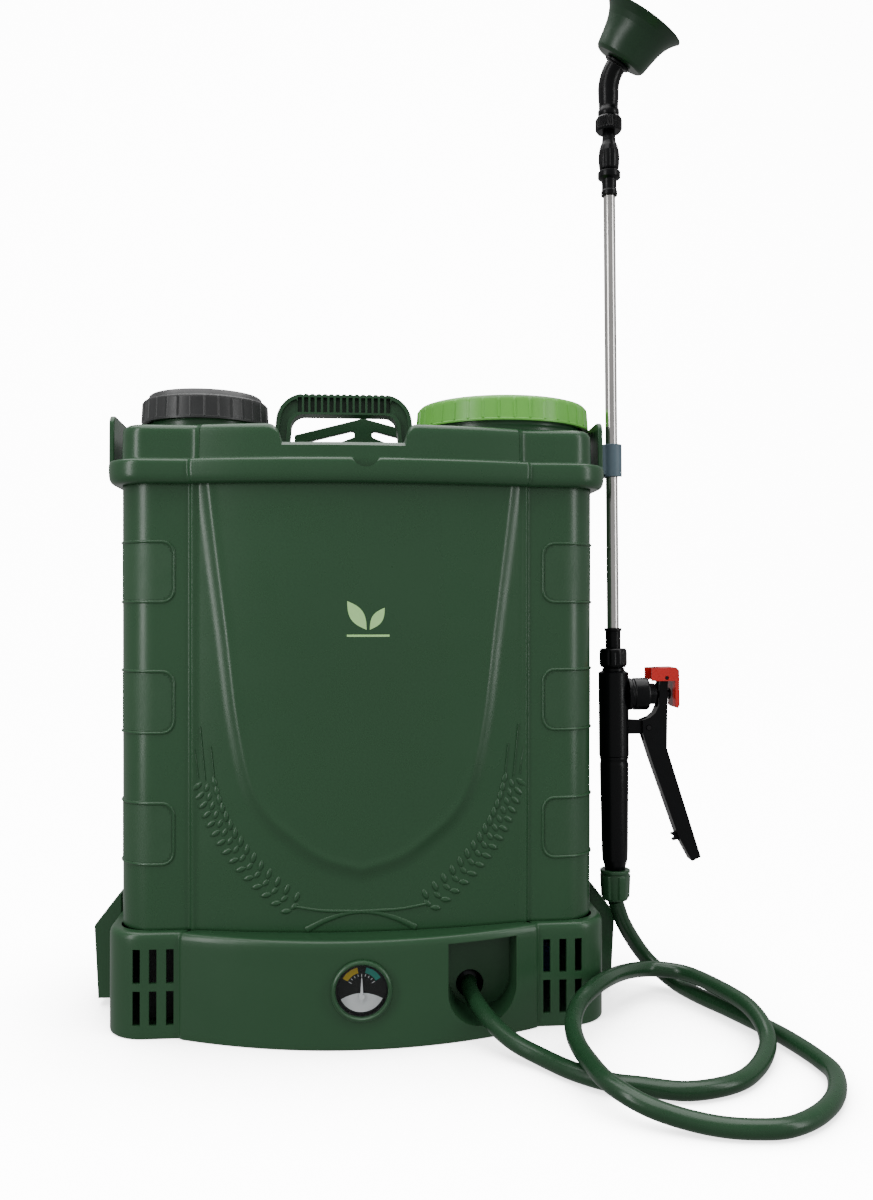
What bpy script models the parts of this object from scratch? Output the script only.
"""Battery backpack sprayer: tank, base with pump, caps, gun, lance and hose. Metres, +Z up, front at -Y."""
import math

import bmesh
import bpy
from mathutils import Matrix, Vector

GAP = 0.0003                    # clearance kept between pieces that touch

# tank mouldings
TANK_HALF = 0.1845              # half width of the tank body
TANK_FRONT = -0.068             # front face of the corner columns
TANK_BULGE = 0.019              # how far the middle of the front stands out
TANK_BACK = 0.0965
TANK_FLOOR = 0.0775
TANK_TOP = 0.4175
WALL = 0.003
CREASE_X = 0.1272               # where a corner column meets the bulged front
RIM_HALF = 0.193
RIM_Z0, RIM_Z1 = 0.4155, 0.434
SHOULDER_Z = 0.462
CHANNEL_Z = 0.447               # floor of the channel that holds the handle

# base
BASE_HALF = 0.1922
BASE_FRONT = -0.0736
BASE_BULGE = 0.0334
BASE_BACK = 0.107
BASE_TOP = 0.0796
BASE_CREASE = 0.1337
VENT_X = (0.1427, 0.1553, 0.1675)
VENT_Z = ((0.0105, 0.036), (0.0417, 0.0672))
GAUGE_Z = 0.044
OUTLET_X, OUTLET_Z, OUTLET_Y = 0.0845, 0.0306, -0.060

# caps: centre x, outer radius, bottom of the skirt, top, and the neck each one closes
CAP_Y = 0.006
FILL_CAP_X, FILL_CAP_R, FILL_Z0, FILL_Z1 = 0.1194, 0.0718, 0.4691, 0.4900
FILL_NECK_R, FILL_NECK_TOP = 0.0660, 0.4834
SMALL_CAP_X, SMALL_CAP_R, SMALL_Z0, SMALL_Z1 = -0.1268, 0.0512, 0.4708, 0.4950
SMALL_NECK_R, SMALL_NECK_TOP = 0.0450, 0.4883
NECK_WALL = 0.0045

# lance: it stands on its foot point and leans by a small angle about Y
FOOT = Vector((0.2100, -0.020, 0.0822))
LEAN = math.radians(0.43)
PIPE_R = 0.0049
VALVE_W = 0.169                 # height of the cross valve above the foot
PIVOT = (0.0278, 0.1416)        # trigger hinge: out from the lance axis, above the foot
LATCH = (0.0420, 0.1825)        # latch hinge
BEND_W = 0.6690                 # where the elbow starts to bend
BEND_R = 0.030
BEND_ANGLE = math.radians(38)
BEND_TURN = math.radians(-35)   # the elbow points right and a little to the front

HOSE_R = 0.00625

# the hose from the outlet to the gun, as it lies on the floor
HOSE_ROUTE = (
    (0.0845, -0.0568, 0.0306), (0.0835, -0.0680, 0.0290), (0.0872, -0.0870, 0.0245),
    (0.0960, -0.1090, 0.0175), (0.1085, -0.1290, 0.0115), (0.1254, -0.1465, 0.0075),
    (0.1427, -0.1684, 0.0064), (0.1637, -0.1874, 0.0064), (0.1826, -0.1951, 0.0064),
    (0.2119, -0.2050, 0.0064), (0.2462, -0.1960, 0.0064), (0.2708, -0.1734, 0.0066),
    (0.2894, -0.1447, 0.0095), (0.2947, -0.1222, 0.0150), (0.2933, -0.0963, 0.0195),
    (0.2844, -0.0666, 0.0215), (0.2699, -0.0293, 0.0215), (0.2527, -0.0170, 0.0220),
    (0.2336, -0.0186, 0.0235), (0.2099, -0.0416, 0.0290), (0.1868, -0.0759, 0.0350),
    (0.1712, -0.0961, 0.0345), (0.1609, -0.1083, 0.0310), (0.1537, -0.1226, 0.0270),
    (0.1490, -0.1411, 0.0235), (0.1480, -0.1634, 0.0212), (0.1501, -0.1877, 0.0203),
    (0.1541, -0.2101, 0.0192), (0.1630, -0.2264, 0.0165), (0.1764, -0.2380, 0.0125),
    (0.1940, -0.2466, 0.0090), (0.2139, -0.2544, 0.0070), (0.2345, -0.2587, 0.0064),
    (0.2576, -0.2581, 0.0064), (0.2832, -0.2433, 0.0064), (0.3051, -0.2188, 0.0064),
    (0.3187, -0.1883, 0.0064), (0.3186, -0.1638, 0.0064), (0.3134, -0.1354, 0.0064),
    (0.3055, -0.1085, 0.0064), (0.2892, -0.0666, 0.0064), (0.2767, -0.0391, 0.0064),
    (0.2670, -0.0120, 0.0066), (0.2564, 0.0010, 0.0130), (0.2438, 0.0040, 0.0242),
    (0.2308, -0.0010, 0.0413), (0.2185, -0.0120, 0.0611), (0.2118, -0.0185, 0.0768),
    (0.2100, -0.0200, 0.0817),
)

for item in list(bpy.data.objects):
    bpy.data.objects.remove(item, do_unlink=True)
PARTS = bpy.data.collections.new("backpack_sprayer")
CUTTERS = bpy.data.collections.new("cutters")
bpy.context.scene.collection.children.link(PARTS)
bpy.context.scene.collection.children.link(CUTTERS)


def make_material(name, colour, roughness, metallic=0.0):
    mat = bpy.data.materials.new(name)
    mat.use_nodes = True
    shader = mat.node_tree.nodes["Principled BSDF"]
    shader.inputs["Base Color"].default_value = (*colour, 1.0)
    shader.inputs["Roughness"].default_value = roughness
    shader.inputs["Metallic"].default_value = metallic
    return mat


GREEN = make_material("tank_green", (0.032, 0.085, 0.045), 0.3)
LIME = make_material("lime", (0.15, 0.42, 0.09), 0.4)
BLACK = make_material("black_plastic", (0.02, 0.021, 0.022), 0.45)
RED = make_material("latch_red", (0.5, 0.02, 0.015), 0.4)
GREY = make_material("clip_grey", (0.07, 0.1, 0.12), 0.5)
STEEL = make_material("steel", (0.6, 0.58, 0.55), 0.25, 1.0)
RUBBER = make_material("rubber", (0.02, 0.02, 0.02), 0.8)
FOAM = make_material("foam", (0.03, 0.035, 0.03), 0.9)
WHITE = make_material("dial_white", (0.8, 0.8, 0.78), 0.5)
CLEAR = make_material("lens", (0.7, 0.75, 0.75), 0.05)
BRASS = make_material("brass", (0.6, 0.42, 0.18), 0.3, 1.0)
PCB = make_material("box_blue", (0.05, 0.08, 0.2), 0.5)


def place(name, mesh, material=None, cutter=False):
    """Put a mesh in the scene as a part, or as a hidden cutter."""
    obj = bpy.data.objects.new(name, mesh)
    (CUTTERS if cutter else PARTS).objects.link(obj)
    if cutter:
        obj.hide_render = True
        obj.hide_viewport = True
        obj.display_type = "WIRE"
    if material:
        mesh.materials.append(material)
    return obj


def from_bmesh(name, bm, material=None, cutter=False):
    mesh = bpy.data.meshes.new(name)
    bm.to_mesh(mesh)
    bm.free()
    return place(name, mesh, material, cutter)


def smooth(obj, angle=35):
    obj.data.shade_smooth()
    obj.data.set_sharp_from_angle(angle=math.radians(angle))
    return obj


def bevel(obj, width, segments=2, limit=40):
    mod = obj.modifiers.new("rounded edges", "BEVEL")
    mod.width = width
    mod.segments = segments
    mod.limit_method = "ANGLE"
    mod.angle_limit = math.radians(limit)
    return obj


def box(name, low, high, material=None, cutter=False):
    bm = bmesh.new()
    bmesh.ops.create_cube(bm, size=1.0)
    low, high = Vector(low), Vector(high)
    for vert in bm.verts:
        vert.co = Vector(low[i] + (vert.co[i] + 0.5) * (high[i] - low[i]) for i in range(3))
    return from_bmesh(name, bm, material, cutter)


def turned(name, profile, sides=32, material=None, cutter=False):
    """Turn a profile of (radius, height) about Z; it runs down its outer side."""
    bm = bmesh.new()
    verts = [bm.verts.new((radius, 0.0, height)) for radius, height in profile]
    for first, second in zip(verts, verts[1:]):
        bm.edges.new((first, second))
    if profile[0][0] > 0:
        bm.edges.new((verts[-1], verts[0]))
    obj = from_bmesh(name, bm, material, cutter)
    mod = obj.modifiers.new("turn", "SCREW")
    mod.axis = "Z"
    mod.steps = mod.render_steps = sides
    mod.use_merge_vertices = True
    mod.merge_threshold = 0.00001
    mod.use_smooth_shade = True
    return obj


def rod(radius, low, high):
    return [(0.0, high), (radius, high), (radius, low), (0.0, low)]


def ring(outer, inner, low, high):
    return [(outer, high), (outer, low), (inner, low), (inner, high)]


def loft(name, rings, material=None, cutter=False, loop=False):
    """Skin over rings of equal count, listed so that the body is on their left going up outside."""
    bm = bmesh.new()
    rows = [[bm.verts.new(point) for point in points] for points in rings]
    pairs = list(zip(rows, rows[1:]))
    if loop:
        pairs.append((rows[-1], rows[0]))
    for lower, upper in pairs:
        for i in range(len(lower)):
            j = (i + 1) % len(lower)
            bm.faces.new((lower[i], lower[j], upper[j], upper[i]))
    if not loop:
        bm.faces.new(list(reversed(rows[0])))
        bm.faces.new(rows[-1])
    return from_bmesh(name, bm, material, cutter)


def prism(name, points, low, high, axis="Y", material=None, cutter=False):
    """Sweep a flat outline, given as (x, z) for axis Y or (y, z) for axis X."""
    def at(a, b, depth):
        return (a, depth, b) if axis == "Y" else (depth, a, b)
    ends = [[at(a, b, depth) for a, b in points] for depth in (low, high)]
    obj = loft(name, ends, material, cutter)
    bm = bmesh.new()
    bm.from_mesh(obj.data)
    bmesh.ops.recalc_face_normals(bm, faces=bm.faces)
    bm.to_mesh(obj.data)
    bm.free()
    return obj


def boolean(obj, other, operation="DIFFERENCE"):
    mod = obj.modifiers.new(operation.lower() + " " + other.name, "BOOLEAN")
    mod.operation = operation
    mod.solver = "EXACT"
    mod.object = other
    return obj


def cut_box(obj, low, high):
    return boolean(obj, box(obj.name + "_cut", low, high, cutter=True))


def cut_round(obj, centre, radius, axis, length, sides=24):
    """Bore a round hole of a given length, centred on a point."""
    tool = turned(obj.name + "_bore", rod(radius, -length / 2, length / 2), sides, cutter=True)
    lay_along(tool, centre, axis)
    return boolean(obj, tool)


def lay_along(obj, point, axis):
    """Move an upright turned piece to a point, with its own Z along an axis."""
    obj.matrix_world = Matrix.Translation(point) @ Vector(axis).to_track_quat("Z", "Y").to_matrix().to_4x4()
    return obj


def arc(centre, radius, start, end, steps):
    """Points on a round stretch, angles in degrees."""
    angles = [math.radians(start + (end - start) * i / steps) for i in range(steps + 1)]
    return [(centre[0] + radius * math.cos(a), centre[1] + radius * math.sin(a)) for a in angles]


def outline(inset, z, half=TANK_HALF, front=TANK_FRONT, bulge=TANK_BULGE, back=TANK_BACK, crease=CREASE_X,
            corner=0.030):
    """Plan of the sprayer: two corner columns, a bulged front between them, straight sides and back."""
    step = 0.0030
    right, near, far = half - inset, front + inset, back - inset
    radius = max(corner - inset, 0.004)
    points = []
    for i in range(13):
        t = -1.0 + i / 6.0
        points.append((t * crease, near - step - (bulge - step) * (1.0 - t * t)))
    points.append((crease + 0.003, near))
    points += arc((right - radius, near + radius), radius, -90, 0, 5)
    points += arc((right - radius, far - radius), radius, 0, 90, 5)
    points += arc((-right + radius, far - radius), radius, 90, 180, 5)
    points += arc((-right + radius, near + radius), radius, 180, 270, 5)
    points.append((-crease - 0.003, near))
    return [Vector((x, y, z)) for x, y in points]


def base_outline(inset, z):
    return outline(inset, z, BASE_HALF, BASE_FRONT, BASE_BULGE, BASE_BACK, BASE_CREASE)


def build_tank():
    shell = loft("tank_shell", [
        outline(0.0040, TANK_FLOOR), outline(0.0012, TANK_FLOOR + 0.003), outline(0.0, TANK_TOP - 0.004),
        outline(-0.0045, TANK_TOP - 0.004), outline(-0.0045, TANK_TOP), outline(WALL, TANK_TOP),
        outline(WALL + 0.001, TANK_FLOOR + WALL)], GREEN)
    cut_round(shell, (0.080, 0.045, TANK_FLOOR), 0.0088, (0, 0, 1), 0.02)
    smooth(shell)

    loft("tank_gasket", [
        outline(-0.0040, TANK_TOP + GAP), outline(-0.0040, TANK_TOP + 0.0020), outline(0.0026, TANK_TOP + 0.0020),
        outline(0.0026, TANK_TOP + GAP)], RUBBER, loop=True)


def rim_outline(inset, z):
    return outline(inset, z, RIM_HALF, TANK_FRONT - 0.0105, TANK_BULGE, TANK_BACK + 0.0085, CREASE_X)


def cut_channel(obj, grow):
    """The trough between the shoulders: sloped in front, wider behind."""
    floor = CHANNEL_Z - grow
    tall = SHOULDER_Z + 0.02
    front = prism("channel_front", [(-0.059 - grow, floor), (0.0335 + grow, floor), (0.0420 + grow, SHOULDER_Z),
                                    (0.0420 + grow, tall), (-0.0725 - grow, tall),
                                    (-0.0725 - grow, SHOULDER_Z)], -0.15, 0.03, cutter=True)
    boolean(obj, front)
    cut_box(obj, (-0.078 - grow, -0.020 - grow, floor), (0.0485 + grow, 0.15, tall + 0.001))
    cut_box(obj, (-0.078 - grow, 0.0755 - grow, floor), (0.0680 + grow, 0.16, tall + 0.002))


def build_tank_top():
    top = loft("tank_top", [
        rim_outline(0.0030, RIM_Z0), rim_outline(0.0, RIM_Z0 + 0.005), rim_outline(0.0, RIM_Z1 - 0.002),
        rim_outline(0.0020, RIM_Z1), rim_outline(0.0095, RIM_Z1), rim_outline(0.0100, SHOULDER_Z - 0.008),
        rim_outline(0.0125, SHOULDER_Z - 0.0025), rim_outline(0.0180, SHOULDER_Z)], GREEN)
    cavity = loft("tank_top_cavity", [
        outline(-0.0052, RIM_Z0 - 0.002), outline(-0.0052, TANK_TOP + 0.0023), outline(0.0045, TANK_TOP + 0.0023),
        outline(0.0050, SHOULDER_Z - WALL)], cutter=True)
    cut_channel(cavity, WALL)
    cut_channel(top, 0.0)
    necks = ((SMALL_CAP_X, SMALL_NECK_R, SMALL_NECK_TOP), (FILL_CAP_X, FILL_NECK_R, FILL_NECK_TOP))
    for x, radius, height in necks:
        neck = turned("neck", rod(radius, SHOULDER_Z - 0.007, height), 40, cutter=True)
        neck.location = (x, CAP_Y, 0)
        boolean(top, neck, "UNION")
        bore = turned("neck_bore", rod(radius - NECK_WALL, SHOULDER_Z - 0.012, height + 0.01), 40, cutter=True)
        bore.location = (x, CAP_Y, 0)
        boolean(cavity, bore, "UNION")
    notch = turned("notch", rod(0.0105, -0.02, 0.02), 24, cutter=True)
    lay_along(notch, (0.003, -0.098, RIM_Z1 + 0.0035), (0, 1, 0))
    boolean(top, notch)
    for side in (-1, 1):
        ear = prism("ear", [(-0.036, RIM_Z1 - 0.003), (0.034, RIM_Z1 - 0.003), (0.034, 0.4600), (0.024, 0.4720)]
                    + arc((-0.027, 0.4655), 0.0080, 80, 180, 4), 0.1922 * side, 0.1962 * side, "X", cutter=True)
        boolean(top, ear, "UNION")
    boolean(top, cavity)
    smooth(top)


def build_base():
    foot = 0.0007
    cover = loft("base_cover", [
        base_outline(0.0, 0.0), base_outline(0.0004, BASE_TOP - 0.002), base_outline(0.0022, BASE_TOP),
        outline(-foot, BASE_TOP), outline(-foot, BASE_TOP - WALL), base_outline(WALL + 0.0004, BASE_TOP - WALL),
        base_outline(WALL, 0.0)], GREEN, loop=True)
    pocket = box("outlet_pocket", (0.0615, -0.12, 0.0075), (0.1215, OUTLET_Y + 0.0025, 0.0770), cutter=True)
    boolean(pocket, loft("pocket_limit", [base_outline(0.0012, 0.0), base_outline(0.0012, 0.08)], cutter=True),
            "INTERSECT")
    boolean(cover, pocket, "UNION")
    mouths = [[(x, y, z) for x, z in [(0.0915 - half, 0.0735)] + arc((0.0915, 0.0370), half, 180, 360, 10)
               + [(0.0915 + half, 0.0735)]] for y, half in ((OUTLET_Y, 0.0240), (-0.112, 0.0282))]
    boolean(cover, loft("outlet_recess", mouths, cutter=True))
    cut_round(cover, (OUTLET_X, OUTLET_Y, OUTLET_Z), 0.01075, (0, 1, 0), 0.02)
    cut_round(cover, (0, BASE_FRONT - BASE_BULGE, GAUGE_Z), 0.0208, (0, 1, 0), 0.02, 32)
    for side in (-1, 1):
        for x in VENT_X:
            for low, high in VENT_Z:
                cut_box(cover, (side * x - 0.0028, -0.09, low), (side * x + 0.0028, -0.06, high))
    cut_round(cover, (0.19, 0.066, 0.052), 0.0035, (1, 0, 0), 0.02, 16)
    cut_round(cover, (0.19, 0.066, 0.022), 0.0066, (1, 0, 0), 0.02, 20)
    cut_box(cover, (-0.20, 0.0560, 0.0455), (-0.18, 0.0760, 0.0585))
    smooth(cover)

    loft("base_plate", [base_outline(WALL + 0.0005, 0.0), base_outline(WALL + 0.0005, 0.004)], GREEN)

    for side, name in ((-1, "left_wing"), (1, "right_wing")):
        wing = prism(name, [(side * x, z) for x, z in ((0.1926, 0.006), (0.2115, 0.006), (0.2147, 0.065),
                                                       (0.1950, 0.0905), (0.1926, 0.0905))],
                     0.0, 0.045, material=GREEN)
        inner, outer = sorted((side * 0.1990, side * 0.2060))
        cut_box(wing, (inner, 0.006, -0.01), (outer, 0.039, 0.12))


def build_handle():
    """The ribbed grip stands in the channel on two flared legs."""
    outer = [(-0.0715, CHANNEL_Z + GAP)] + arc((-0.0455, 0.4760), 0.0235, 180, 90, 5) \
        + arc((0.0195, 0.4760), 0.0235, 90, 0, 5) + [(0.0455, CHANNEL_Z + GAP)]
    inner = [(0.0335, CHANNEL_Z + GAP)] + arc((0.0200, 0.4715), 0.0110, 0, 90, 4) \
        + arc((-0.0460, 0.4715), 0.0110, 90, 180, 4) + [(-0.0595, CHANNEL_Z + GAP)]
    grip = prism("carry_handle", list(reversed(outer + inner)), 0.000, 0.020, material=GREEN)
    for i in range(15):
        x = -0.0496 + 0.0522 * i / 10.0
        cut_box(grip, (x - 0.0017, -0.01, 0.4850), (x + 0.0017, 0.008, 0.4950))

    hanger = prism("strap_hanger", [(-0.0575, CHANNEL_Z + GAP), (0.0655, CHANNEL_Z + GAP), (0.0655, 0.4775),
                                    (0.0040, 0.4935), (-0.0575, 0.4775)], 0.078, 0.086, material=GREEN)
    for side in (-1, 1):
        slot = prism("hanger_slot", [(0.004 + side * x, z) for x, z in ((0.0070, 0.4770), (0.0070, 0.4825),
                                                                        (0.0540, 0.4705), (0.0540, 0.4590))],
                     0.07, 0.10, cutter=True)
        boolean(hanger, slot)


def build_back():
    rest = box("backrest", (-0.130, TANK_BACK + 0.0004, 0.110), (0.130, TANK_BACK + 0.0044, 0.400), BLACK)
    bevel(rest, 0.0012, 1)
    pad = box("back_pad", (-0.115, TANK_BACK + 0.0048, 0.125), (0.115, TANK_BACK + 0.0168, 0.385), FOAM)
    bevel(pad, 0.0045, 2)


def build_caps():
    fill = turned("fill_cap", [
        (0.0, FILL_Z1), (FILL_CAP_R - 0.0045, FILL_Z1), (FILL_CAP_R - 0.0012, FILL_Z1 - 0.0025),
        (FILL_CAP_R, FILL_Z0), (FILL_CAP_R - 0.0030, FILL_Z0), (FILL_CAP_R - 0.0038, FILL_Z1 - 0.003),
        (0.0, FILL_Z1 - 0.003)], 48, LIME)
    fill.location = (FILL_CAP_X, CAP_Y, 0)
    seal = turned("fill_cap_seal", ring(0.0645, 0.0585, FILL_Z1 - 0.0044, FILL_Z1 - 0.0033), 40, RUBBER)
    seal.location = (FILL_CAP_X, CAP_Y, 0)
    rest = FILL_NECK_TOP + GAP
    basket = turned("strainer_basket", [
        (0.0650, rest + 0.0016), (0.0650, rest), (0.0600, rest), (0.0560, 0.4230), (0.0, 0.4230),
        (0.0, 0.4245), (0.0545, 0.4245), (0.0582, rest - 0.0012), (0.0582, rest + 0.0016)], 36, WHITE)
    basket.location = (FILL_CAP_X, CAP_Y, 0)
    for turn in range(4):
        window = box("basket_window", (-0.08, -0.013, 0.432), (0.08, 0.013, 0.472), cutter=True)
        window.location = (FILL_CAP_X, CAP_Y, 0)
        window.rotation_euler = (0, 0, math.radians(45 * turn))
        boolean(basket, window)

    small = turned("small_cap", [
        (0.0, SMALL_Z1), (SMALL_CAP_R - 0.0055, SMALL_Z1), (SMALL_CAP_R - 0.0040, SMALL_Z1 - 0.0045),
        (SMALL_CAP_R - 0.0006, SMALL_Z1 - 0.0055), (SMALL_CAP_R, SMALL_Z0), (SMALL_CAP_R - 0.0032, SMALL_Z0),
        (SMALL_CAP_R - 0.0038, SMALL_Z1 - 0.0075), (SMALL_CAP_R - 0.0070, SMALL_Z1 - 0.0028),
        (0.0, SMALL_Z1 - 0.0028)], 40, BLACK)
    small.location = (SMALL_CAP_X, CAP_Y, 0)
    ring_seal = turned("small_cap_seal", ring(0.0430, 0.0375, SMALL_NECK_TOP + GAP, SMALL_NECK_TOP + 0.0033),
                       36, RUBBER)
    ring_seal.location = (SMALL_CAP_X, CAP_Y, 0)


def build_gauge():
    front = (0.0, 0.0, GAUGE_Z)
    pieces = (
        ("gauge_case", [(0.0192, 0.1068), (0.0203, 0.1068), (0.0203, 0.0880), (0.0, 0.0880), (0.0, 0.0895),
                        (0.0192, 0.0895)], BLACK),
        ("gauge_bezel", [(0.0190, 0.1112), (0.0205, 0.1112), (0.0224, 0.1095), (0.0224, 0.1073),
                         (0.0190, 0.1073)], GREEN),
        ("gauge_dial", rod(0.0189, 0.1030, 0.1042), WHITE),
        ("gauge_lens", rod(0.0187, 0.1082, 0.1098), CLEAR),
    )
    for name, profile, material in pieces:
        lay_along(turned(name, profile, 32, material), front, (0, -1, 0))
    needle = prism("gauge_needle", [(-0.0012, -0.0040), (0.0012, -0.0040), (0.0012, 0.0), (0.0003, 0.0135),
                                    (-0.0003, 0.0135), (-0.0012, 0.0)], -0.0003, 0.0003, material=BLACK)
    hub = turned("needle_hub", rod(0.0022, -0.0012, 0.0012), 14, cutter=True)
    hub.rotation_euler = (math.radians(90), 0, 0)
    hub.parent = needle
    boolean(needle, hub, "UNION")
    needle.location = (0, -0.1058, GAUGE_Z - 0.005)


def tube(name, points, radius, material, resolution=2):
    """A curve with a round bevel and filled caps, along points joined by straight runs."""
    curve = bpy.data.curves.new(name, "CURVE")
    curve.dimensions = "3D"
    curve.bevel_depth = radius
    curve.bevel_resolution = resolution
    curve.use_fill_caps = True
    curve.render_resolution_u = 0
    spline = curve.splines.new("POLY")
    spline.points.add(len(points) - 1)
    for point, place_at in zip(spline.points, points):
        point.co = (*place_at, 1.0)
    obj = bpy.data.objects.new(name, curve)
    PARTS.objects.link(obj)
    curve.materials.append(material)
    return obj


def curve_through(points, count):
    """Even points on a smooth curve through the route's own points."""
    points = [Vector(p) for p in points]
    ends = [2 * points[0] - points[1]] + points + [2 * points[-1] - points[-2]]
    dense = []
    for a, b, c, d in zip(ends, ends[1:], ends[2:], ends[3:]):
        for i in range(12):
            t = i / 12.0
            dense.append(0.5 * (2 * b + (c - a) * t + (2 * a - 5 * b + 4 * c - d) * t * t
                                + (3 * b - a - 3 * c + d) * t ** 3))
    dense.append(points[-1])
    lengths = [0.0]
    for a, b in zip(dense, dense[1:]):
        lengths.append(lengths[-1] + (b - a).length)
    even, j = [], 0
    for i in range(count):
        want = lengths[-1] * i / (count - 1)
        while j < len(lengths) - 2 and lengths[j + 1] < want:
            j += 1
        part = (want - lengths[j]) / max(lengths[j + 1] - lengths[j], 1e-9)
        even.append(dense[j].lerp(dense[j + 1], min(part, 1.0)))
    return even


def build_machinery():
    """Battery, pump and plumbing stand on the base plate under the tank."""
    floor = 0.004 + GAP
    bevel(box("battery", (-0.165, -0.045, floor), (-0.015, 0.045, 0.0645), BLACK), 0.002, 1)
    strap = box("battery_bracket", (-0.100, -0.0475, floor), (-0.080, 0.0475, 0.0665), STEEL)
    cut_box(strap, (-0.11, -0.0455, 0.0), (-0.07, 0.0455, 0.0649))
    bevel(box("pump_head", (0.0550, -0.028, 0.010), (0.105, 0.017, 0.060), BLACK), 0.003, 1)
    lay_along(turned("pump_motor", rod(0.0190, 0.0, 0.0540), 28, STEEL), (0.0005, -0.005, 0.035), (1, 0, 0))
    box("pressure_switch", (0.1053, -0.015, 0.025), (0.118, 0.005, 0.045), WHITE)
    fitting = turned("suction_fitting", [
        (0.0, 0.0840), (0.012, 0.0840), (0.012, TANK_FLOOR + WALL + GAP), (0.0085, TANK_FLOOR + WALL + GAP),
        (0.0085, 0.060), (0.0060, 0.058), (0.0060, 0.0500), (0.0, 0.0500)], 20, BRASS)
    fitting.location = (0.080, 0.045, 0)
    tube("suction_hose", curve_through([(0.080, 0.045, 0.0490), (0.080, 0.0445, 0.040), (0.080, 0.036, 0.031),
                                        (0.080, 0.027, 0.029), (0.080, 0.0174, 0.029)], 10), 0.0058, RUBBER)
    tube("delivery_hose", [(OUTLET_X, -0.0388, OUTLET_Z), (OUTLET_X, -0.0284, OUTLET_Z)], 0.0058, RUBBER)
    barb = turned("outlet_barb", [(0.0, 0.0555), (0.0055, 0.0555), (0.0090, 0.0540), (0.0090, 0.0440),
                                  (0.0050, 0.0430), (0.0050, 0.0392), (0.0, 0.0392)], 20, BRASS)
    lay_along(barb, (OUTLET_X, 0, OUTLET_Z), (0, -1, 0))
    bevel(box("controller_box", (0.120, 0.020, floor), (0.165, 0.085, 0.032), PCB), 0.002, 1)


def build_controls():
    """The knob and the socket are on the right side, the switch on the left side, behind the wings."""
    wall = BASE_HALF
    knob = turned("speed_knob", [(0.0, 0.0130), (0.0100, 0.0130), (0.0112, 0.0118), (0.0112, 0.0010),
                                 (0.0031, 0.0010), (0.0031, -0.0080), (0.0, -0.0080)], 24, BLACK)
    lay_along(knob, (wall, 0.066, 0.052), (1, 0, 0))
    socket = turned("charging_socket", [(0.0063, 0.0004), (0.0063, -0.0120), (0.0, -0.0120), (0.0, -0.0100),
                                        (0.0040, -0.0100), (0.0040, 0.0004)], 20, BLACK)
    lay_along(socket, (wall, 0.066, 0.022), (1, 0, 0))
    box("socket_flap", (wall + 0.0008, 0.0575, 0.0125), (wall + 0.0026, 0.0745, 0.0325), RUBBER)
    rocker = prism("rocker_switch", [(-0.0075, -0.0055), (0.0020, -0.0055), (0.0045, 0.0055), (-0.0075, 0.0055)],
                   -0.0095, 0.0095, material=BLACK)
    rocker.matrix_world = Matrix.Translation((-wall, 0.066, 0.052)) @ Matrix.Rotation(math.pi, 4, "Z")


def lance_point(out, along, across=0.0):
    """A place measured from the lance's foot: out to the right, up along the axis, across to the back."""
    return FOOT + Vector((out * math.cos(LEAN) - along * math.sin(LEAN), across,
                          out * math.sin(LEAN) + along * math.cos(LEAN)))


LANCE_UP = Vector((-math.sin(LEAN), 0, math.cos(LEAN)))
LANCE_FRAME = Matrix.Translation(FOOT) @ Matrix.Rotation(-LEAN, 4, "Y")


def on_lance(obj, shift=(0, 0, 0)):
    obj.matrix_world = LANCE_FRAME @ Matrix.Translation(shift)
    return obj


def across_lance(obj, out, along):
    """Lay a turned piece with its own Z out to the right, at a place on the lance."""
    obj.matrix_world = LANCE_FRAME @ Matrix.Translation((out, 0, along)) @ Matrix.Rotation(math.pi / 2, 4, "Y")
    return obj


def bore_y(obj, out, along, radius, length=0.06, sides=12):
    tool = turned(obj.name + "_pin_hole", rod(radius, -length / 2, length / 2), sides, cutter=True)
    tool.matrix_world = LANCE_FRAME @ Matrix.Translation((out, 0, along)) @ Matrix.Rotation(math.pi / 2, 4, "X")
    return boolean(obj, tool)


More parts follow.
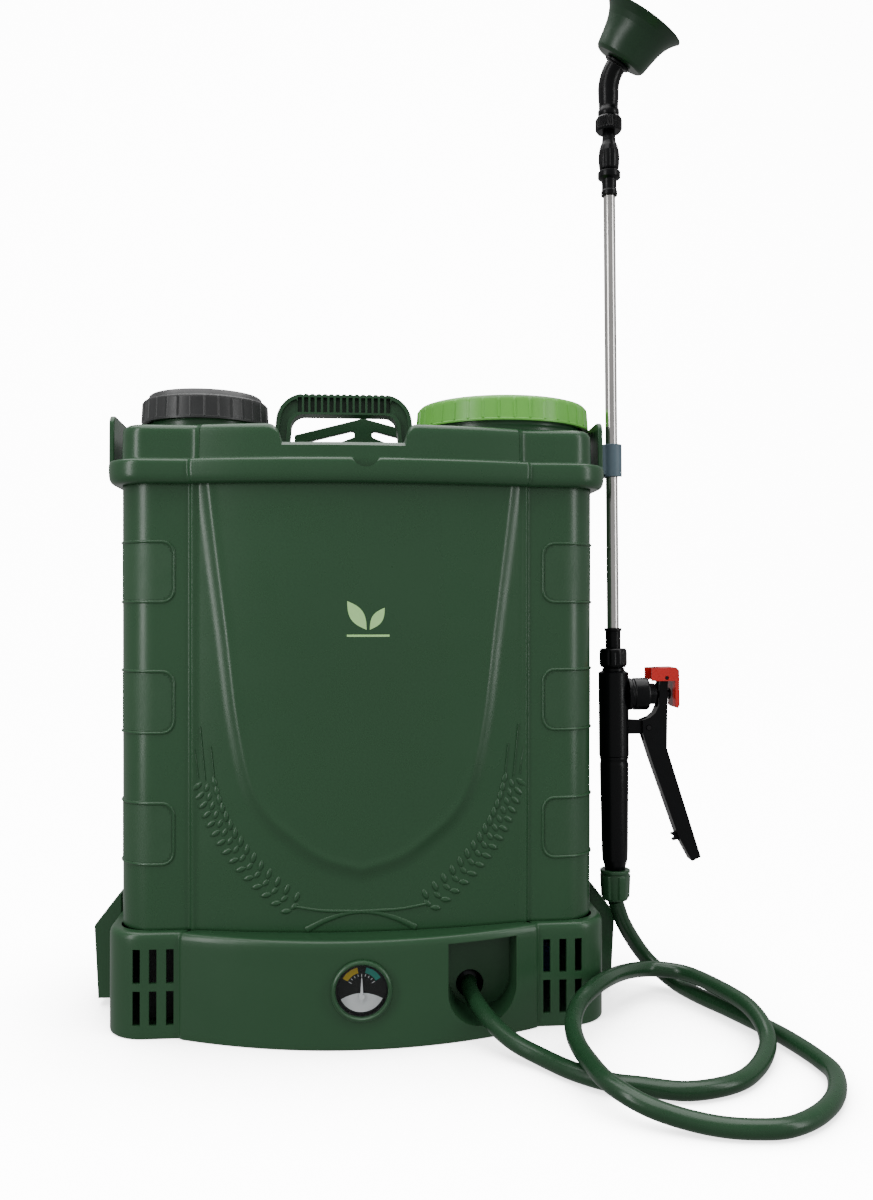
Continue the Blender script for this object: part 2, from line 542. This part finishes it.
def build_gun():
    on_lance(turned("hose_nut", [(0.0085, 0.0250), (0.0120, 0.0250), (0.0124, 0.0210), (0.0110, 0.0030),
                                 (0.0100, 0.0000), (0.0068, 0.0000), (0.0068, 0.0215), (0.0085, 0.0215)],
                    24, GREEN))
    on_lance(turned("gun_grip", [(0.0, 0.1184), (0.0118, 0.1184), (0.0107, 0.0330), (0.0092, 0.0290),
                                 (0.0080, 0.0253), (0.0080, 0.0220), (0.0, 0.0220)], 28, BLACK))
    body = on_lance(turned("gun_body", [
        (0.0, 0.1955), (0.0075, 0.1955), (0.0075, 0.1910), (0.0092, 0.1905), (0.0092, 0.1885),
        (0.0123, 0.1870), (0.0123, 0.1187), (0.0, 0.1187)], 28, BLACK))
    bracket = prism("bracket", [(0.004, 0.1362), (PIVOT[0], 0.1362)] + arc(PIVOT, 0.0054, -90, 90, 6)
                    + [(0.004, 0.1490)], -0.0030, 0.0030, cutter=True)
    on_lance(bracket)
    boolean(body, bracket, "UNION")
    bore_y(body, *PIVOT, 0.0023)
    tool = across_lance(turned("valve_socket", rod(0.0136, 0.0, 0.03), 28, cutter=True), 0.0106, VALVE_W)
    boolean(body, tool)
    on_lance(turned("lance_nut", [(0.0066, 0.2068), (0.0100, 0.2068), (0.0114, 0.2050), (0.0114, 0.1940),
                                  (0.0098, 0.1913), (0.0079, 0.1913), (0.0079, 0.1960), (0.0066, 0.1960)],
                    20, BLACK))
    on_lance(turned("lance_ferrule", [(0.0071, 0.2236), (0.0071, 0.2214), (0.0062, 0.2210), (0.0062, 0.1963),
                                      (PIPE_R + GAP, 0.1963), (PIPE_R + GAP, 0.2236)], 20, BLACK))

    across_lance(turned("valve_barrel", [(0.0080, 0.0283), (0.0128, 0.0283), (0.0133, 0.0275), (0.0133, 0.0109),
                                         (0.0, 0.0109), (0.0, 0.0125), (0.0080, 0.0125)], 28, BLACK), 0, VALVE_W)
    across_lance(turned("valve_cap", ring(0.0091, 0.0038, 0.0286, 0.0343), 6, BLACK), 0, VALVE_W)
    across_lance(turned("valve_stem", [(0.0, 0.0476), (0.0048, 0.0476), (0.0048, 0.0460), (0.0029, 0.0460),
                                       (0.0029, 0.0180), (0.0045, 0.0180), (0.0045, 0.0150), (0.0, 0.0150)],
                        20, STEEL), 0, VALVE_W)
    coil = [(0.0060 * math.cos(a), 0.0060 * math.sin(a), 0.0192 + 0.0078 * a / (6 * math.pi))
            for a in (2 * math.pi * i / 12 for i in range(37))]
    across_lance(tube("valve_spring", coil, 0.0006, STEEL), 0, VALVE_W)

    build_trigger()


def build_trigger():
    lever = prism("trigger_lever", [
        (0.0440, 0.1765), (0.0450, 0.1860), (0.0390, 0.1860), (0.0370, 0.1765), (0.0365, 0.1600), (0.0335, 0.1535),
        (0.0290, 0.1500), (0.0227, 0.1478), (0.0227, 0.1369), (0.0295, 0.1158), (0.0514, 0.0527), (0.0632, 0.0308),
        (0.0707, 0.0342), (0.0429, 0.1243)], -0.0065, 0.0065, material=BLACK)
    on_lance(lever)
    slots = (
        ("fork_slot", (0.02, -0.0036, 0.1580), (0.06, 0.0036, 0.20)),
        ("bracket_slot", (0.01, -0.0034, 0.1310), (PIVOT[0], 0.0034, 0.1535)),
    )
    for name, low, high in slots:
        cut_on_lance(lever, name, low, high)
    eye = turned("pivot_slot", rod(0.0074, -0.0034, 0.0034), 20, cutter=True)
    eye.matrix_world = LANCE_FRAME @ Matrix.Translation((PIVOT[0], 0, PIVOT[1])) @ Matrix.Rotation(math.pi / 2, 4, "X")
    boolean(lever, eye)
    bore_y(lever, *PIVOT, 0.0023)
    bore_y(lever, *LATCH, 0.0017)
    for name, at, radius, half in (("trigger_pin", PIVOT, 0.0020, 0.0072), ("latch_pin", LATCH, 0.0014, 0.0105)):
        pin = turned(name, rod(radius, -half, half), 12, STEEL)
        pin.matrix_world = LANCE_FRAME @ Matrix.Translation((at[0], 0, at[1])) @ Matrix.Rotation(math.pi / 2, 4, "X")

    latch = prism("lock_latch", [(0.0292, 0.1800), (0.0292, 0.1905), (0.0500, 0.1910), (0.0524, 0.1885),
                                 (0.0525, 0.1600), (0.0510, 0.1575), (0.0490, 0.1590), (0.0490, 0.1800)],
                  -0.0110, 0.0110, material=RED)
    on_lance(latch)
    cut_on_lance(latch, "latch_slot", (0.0365, -0.0068, 0.17), (0.0475, 0.0068, 0.1880))
    cut_on_lance(latch, "latch_mouth", (0.02, -0.0098, 0.17), (0.0368, 0.0098, 0.20))
    bore_y(latch, *LATCH, 0.0017)


def cut_on_lance(obj, name, low, high):
    return boolean(obj, on_lance(box(name, low, high, cutter=True)))


def build_lance():
    on_lance(turned("lance_pipe", ring(PIPE_R, 0.0040, 0.2000, 0.5835), 24, STEEL))
    on_lance(turned("lance_sleeve", [(0.0, 0.6010), (0.0093, 0.6010), (0.0093, 0.5960), (0.0061, 0.5945),
                                     (0.0061, 0.5860), (0.0067, 0.5850), (0.0067, 0.5815), (PIPE_R + GAP, 0.5815),
                                     (PIPE_R + GAP, 0.5838), (0.0, 0.5838)], 24, BLACK))
    on_lance(turned("adjusting_nut", [(0.0, 0.6340), (0.0050, 0.6340), (0.0058, 0.6258), (0.0072, 0.6225),
                                      (0.0087, 0.6130), (0.0080, 0.6040), (0.0060, 0.6013), (0.0, 0.6013)],
                    24, BLACK))
    on_lance(turned("knurled_collar", [(0.0, 0.6462), (0.0095, 0.6462), (0.0108, 0.6445), (0.0108, 0.6360),
                                       (0.0095, 0.6343), (0.0, 0.6343)], 24, BLACK))

    clip = on_lance(turned("lance_clip", ring(0.0086, PIPE_R + GAP, 0.3482, 0.3750), 24, GREY))
    arm = on_lance(box("clip_arm", (-0.0105, -0.0060, 0.3500), (-0.0060, 0.0060, 0.3740), cutter=True))
    boolean(clip, arm, "UNION")
    bore = on_lance(turned("clip_bore", rod(PIPE_R + GAP, 0.34, 0.38), 24, cutter=True))
    boolean(clip, bore)
    boolean(clip, on_lance(box("clip_mouth", (0.0, -0.0030, 0.34), (0.02, 0.0120, 0.38), cutter=True)))


def bend_frame():
    """Where the elbow ends and the bell's axis starts."""
    side = Vector((math.cos(BEND_TURN), math.sin(BEND_TURN), 0))
    start = lance_point(0, BEND_W)
    along = BEND_R * math.sin(BEND_ANGLE) * LANCE_UP + BEND_R * (1 - math.cos(BEND_ANGLE)) * side
    axis = (math.cos(BEND_ANGLE) * LANCE_UP + math.sin(BEND_ANGLE) * side).normalized()
    return start, side, start + along, axis


def build_nozzle():
    start, side, end, axis = bend_frame()
    seat = end + 0.0006 * axis
    path = [lance_point(0, 0.6465), lance_point(0, 0.6580), start]
    for i in range(1, 6):
        angle = BEND_ANGLE * i / 5
        path.append(start + BEND_R * math.sin(angle) * LANCE_UP + BEND_R * (1 - math.cos(angle)) * side)
    tube("lance_elbow", path, 0.0086, BLACK, 4)
    lay_along(turned("nozzle_flange", [(0.0, 0.0036), (0.0110, 0.0036), (0.0110, 0.0011), (0.0, 0.0011)],
                     24, BLACK), end, axis)
    lay_along(turned("nozzle_tip", [(0.0, 0.0130), (0.0035, 0.0130), (0.0050, 0.0110), (0.0050, 0.0035),
                                    (0.0, 0.0035)], 20, BRASS), seat, axis)
    bell = [(0.0350, 0.0395), (0.0330, 0.0375), (0.0275, 0.0290), (0.0245, 0.0180), (0.0225, 0.0065),
            (0.0200, 0.0038), (0.0055, 0.0035), (0.0055, 0.0056), (0.0190, 0.0058), (0.0205, 0.0080),
            (0.0226, 0.0190), (0.0256, 0.0300), (0.0310, 0.0385), (0.0335, 0.0402)]
    lay_along(turned("nozzle_bell", bell, 40, GREEN), seat, axis)


def build_hose():
    tube("hose", curve_through(HOSE_ROUTE, 78), HOSE_R, GREEN, 2)


build_tank()
build_tank_top()
build_base()
build_handle()
build_back()
build_caps()
build_gauge()
build_machinery()
build_controls()
build_gun()
build_lance()
build_nozzle()
build_hose()
bpy.context.view_layer.update()
